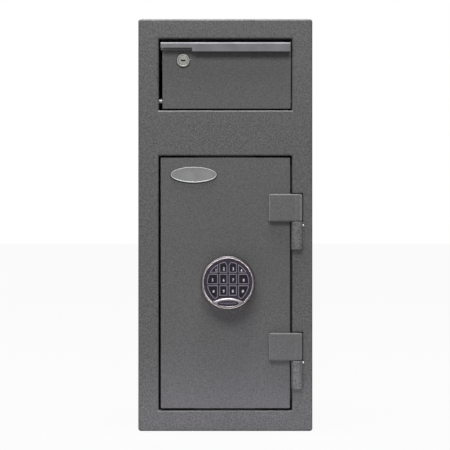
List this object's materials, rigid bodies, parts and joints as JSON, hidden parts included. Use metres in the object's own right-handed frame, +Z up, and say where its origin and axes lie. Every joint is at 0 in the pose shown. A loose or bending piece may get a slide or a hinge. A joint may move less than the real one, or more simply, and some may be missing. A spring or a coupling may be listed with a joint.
{
  "type": "drop safe",
  "caption": "Tall steel drop safe with a tilting deposit hopper above a hinged door with a round electronic keypad and bolt-throwing drive.",
  "frame": {"origin": "centre of the base, on the surface the safe stands on", "axes": "+Z up, the front faces -Y, +X to the right as seen from the front"},
  "size_m": [0.355, 0.373, 0.84],
  "materials": {
    "frame_paint": "grey textured powder coat with a fine hammered grain",
    "door_paint": "grey powder coat, smoother than the frame",
    "inner_paint": "grey powder coat, thin, inside the cabinet",
    "lip_satin": "satin grey",
    "zinc_plate": "bright zinc plating",
    "lock_nickel": "satin nickel",
    "bolt_chrome": "bright",
    "keypad_chrome": "bright chrome plating on a moulded housing",
    "keypad_dark": "dark violet-black moulded plastic",
    "keypad_window": "dark glossy lens",
    "key_rubber": "dark keys with pale outlines and figures",
    "badge_metal": "brushed, with a bright raised rim",
    "cast_zinc": "die-cast zinc, lightly grained"
  },
  "bodies": {
    "cabinet": {"front_frame": "frame_paint", "left_side_panel": "frame_paint", "right_side_panel": "frame_paint", "top_panel": "frame_paint", "floor_panel": "frame_paint", "back_panel": "frame_paint", "upper_door_stop": "frame_paint", "lower_door_stop": "frame_paint", "upper_hinge_barrel": "frame_paint", "lower_hinge_barrel": "frame_paint", "upper_hinge_pin": "zinc_plate", "lower_hinge_pin": "zinc_plate", "upper_hinge_pocket": "inner_paint", "lower_hinge_pocket": "inner_paint", "left_hopper_cheek": "inner_paint", "right_hopper_cheek": "inner_paint", "anti_fishing_guard": "inner_paint", "left_pivot_bolt": "zinc_plate", "right_pivot_bolt": "zinc_plate"},
    "hopper": {"hopper_front_panel": "door_paint", "hopper_pull_lip": "lip_satin", "left_hopper_side": "inner_paint", "right_hopper_side": "inner_paint", "hopper_floor": "inner_paint", "hopper_lock_housing": "lock_nickel", "hopper_lock_nut": "zinc_plate"},
    "hopper_lock": {"hopper_lock_plug": "lock_nickel", "hopper_lock_cam": "zinc_plate", "hopper_lock_screw": "zinc_plate"},
    "door": {"door_panel": "door_paint", "upper_hinge_leaf": "door_paint", "lower_hinge_leaf": "door_paint", "badge_plate": "badge_metal", "hinge_side_dog_bar": "inner_paint", "bolt_guide_bracket": "zinc_plate", "lock_case": "cast_zinc", "keypad_base_ring": "keypad_dark", "left_guide_post": "zinc_plate", "right_guide_post": "zinc_plate"},
    "keypad": {"keypad_housing": "keypad_chrome", "keypad_face": "keypad_dark", "keypad_bezel": "keypad_chrome", "keypad_window": "keypad_window", "drive_spindle": "zinc_plate", "drive_pinion": "zinc_plate"},
    "boltwork": {"bolt_carriage": "zinc_plate", "upper_locking_bolt": "bolt_chrome", "lower_locking_bolt": "bolt_chrome"},
    "key_1": {"key_1": "key_rubber"},
    "key_2": {"key_2": "key_rubber"},
    "key_3": {"key_3": "key_rubber"},
    "key_4": {"key_4": "key_rubber"},
    "key_5": {"key_5": "key_rubber"},
    "key_6": {"key_6": "key_rubber"},
    "key_7": {"key_7": "key_rubber"},
    "key_8": {"key_8": "key_rubber"},
    "key_9": {"key_9": "key_rubber"},
    "key_0": {"key_0": "key_rubber"},
    "key_star": {"key_star": "key_rubber"},
    "key_hash": {"key_hash": "key_rubber"}
  },
  "joints": [
    {"name": "hopper_tilt", "type": "hinge", "parent": "cabinet", "child": "hopper", "pos_m": [0, -0.1545, 0.6726], "axis": [1, 0, 0], "range_deg": [0, 50]},
    {"name": "hopper_lock_turn", "type": "hinge", "parent": "hopper", "child": "hopper_lock", "pos_m": [-0.0858, -0.1625, 0.7553], "axis": [0, -1, 0], "range_deg": [0, 90]},
    {"name": "door_swing", "type": "hinge", "parent": "cabinet", "child": "door", "pos_m": [0.146, -0.1675, 0.3], "axis": [0, 0, 1], "range_deg": [0, 120]},
    {"name": "keypad_turn", "type": "hinge", "parent": "door", "child": "keypad", "pos_m": [0.0055, -0.1675, 0.304], "axis": [0, -1, 0], "range_deg": [0, 90]},
    {"name": "bolt_throw", "type": "slide", "parent": "door", "child": "boltwork", "axis": [-1, 0, 0], "range_m": [0, 0.018]},
    {"name": "key_1_press", "type": "slide", "parent": "keypad", "child": "key_1", "axis": [0, 1, 0], "range_m": [0, 0.0012], "stiffness_N_per_m": 1000},
    {"name": "key_2_press", "type": "slide", "parent": "keypad", "child": "key_2", "axis": [0, 1, 0], "range_m": [0, 0.0012], "stiffness_N_per_m": 1000},
    {"name": "key_3_press", "type": "slide", "parent": "keypad", "child": "key_3", "axis": [0, 1, 0], "range_m": [0, 0.0012], "stiffness_N_per_m": 1000},
    {"name": "key_4_press", "type": "slide", "parent": "keypad", "child": "key_4", "axis": [0, 1, 0], "range_m": [0, 0.0012], "stiffness_N_per_m": 1000},
    {"name": "key_5_press", "type": "slide", "parent": "keypad", "child": "key_5", "axis": [0, 1, 0], "range_m": [0, 0.0012], "stiffness_N_per_m": 1000},
    {"name": "key_6_press", "type": "slide", "parent": "keypad", "child": "key_6", "axis": [0, 1, 0], "range_m": [0, 0.0012], "stiffness_N_per_m": 1000},
    {"name": "key_7_press", "type": "slide", "parent": "keypad", "child": "key_7", "axis": [0, 1, 0], "range_m": [0, 0.0012], "stiffness_N_per_m": 1000},
    {"name": "key_8_press", "type": "slide", "parent": "keypad", "child": "key_8", "axis": [0, 1, 0], "range_m": [0, 0.0012], "stiffness_N_per_m": 1000},
    {"name": "key_9_press", "type": "slide", "parent": "keypad", "child": "key_9", "axis": [0, 1, 0], "range_m": [0, 0.0012], "stiffness_N_per_m": 1000},
    {"name": "key_0_press", "type": "slide", "parent": "keypad", "child": "key_0", "axis": [0, 1, 0], "range_m": [0, 0.0012], "stiffness_N_per_m": 1000},
    {"name": "key_star_press", "type": "slide", "parent": "keypad", "child": "key_star", "axis": [0, 1, 0], "range_m": [0, 0.0012], "stiffness_N_per_m": 1000},
    {"name": "key_hash_press", "type": "slide", "parent": "keypad", "child": "key_hash", "axis": [0, 1, 0], "range_m": [0, 0.0012], "stiffness_N_per_m": 1000}
  ],
  "couplings": [
    {"joint": "bolt_throw", "follows": "keypad_turn", "m_per_rad": 0.011459}
  ]
}
